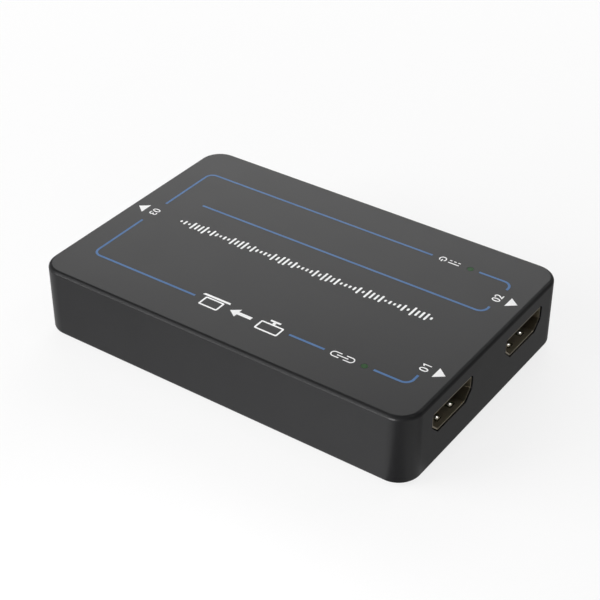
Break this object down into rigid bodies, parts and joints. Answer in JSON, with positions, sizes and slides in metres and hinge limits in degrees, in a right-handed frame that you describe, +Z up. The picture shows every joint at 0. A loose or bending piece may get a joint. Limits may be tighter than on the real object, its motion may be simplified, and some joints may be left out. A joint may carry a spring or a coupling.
{
  "type": "video capture box",
  "caption": "Flat black box with rolled edges, video sockets in one short end and a data socket in the other, a circuit board inside and a screwed base cover on rubber feet.",
  "frame": {"origin": "on the surface under the feet, midway along and across the housing", "axes": "+X towards the end with the two video sockets, +Y across the housing towards the output socket, +Z up"},
  "size_m": [0.0932, 0.062, 0.0172],
  "materials": {
    "housing": "satin moulded black",
    "screw_steel": "black zinc",
    "foot_rubber": "matt",
    "light_pipe": "clear, faint green",
    "diode_resin": "clear resin",
    "board_laminate": "solder mask",
    "socket_metal": "nickel plated",
    "socket_resin": "moulded black",
    "contact_plating": "gold plated",
    "chip_resin": "moulded epoxy",
    "pad_silicone": "matt",
    "sink_metal": "extruded",
    "tinned_leads": "tinned",
    "crystal_can": "drawn can",
    "ferrite": "pressed ferrite",
    "capacitor_can": "drawn can",
    "capacitor_ceramic": "fired ceramic",
    "resistor_film": "glazed film"
  },
  "bodies": {
    "root": {"top_shell": "housing", "bottom_cover": "housing", "cover_screws": "screw_steel", "rubber_feet": "foot_rubber", "power_light_pipe": "light_pipe", "link_light_pipe": "light_pipe", "power_diode": "diode_resin", "link_diode": "diode_resin", "main_board": "board_laminate", "input_socket_shell": "socket_metal", "input_socket_insulator": "socket_resin", "input_socket_contacts": "contact_plating", "output_socket_shell": "socket_metal", "output_socket_insulator": "socket_resin", "output_socket_contacts": "contact_plating", "data_socket_shell": "socket_metal", "data_socket_insulator": "socket_resin", "data_socket_contacts": "contact_plating", "capture_chip": "chip_resin", "thermal_pad": "pad_silicone", "heat_sink": "sink_metal", "receiver_chip": "chip_resin", "receiver_chip_leads": "tinned_leads", "loop_driver_chip": "chip_resin", "memory_chip": "chip_resin", "memory_chip_leads": "tinned_leads", "clock_crystals": "crystal_can", "voltage_regulators": "chip_resin", "power_inductors": "ferrite", "bulk_capacitors": "capacitor_can", "surge_arrays": "chip_resin", "chip_capacitors": "capacitor_ceramic", "chip_resistors": "resistor_film"}
  },
  "joints": []
}
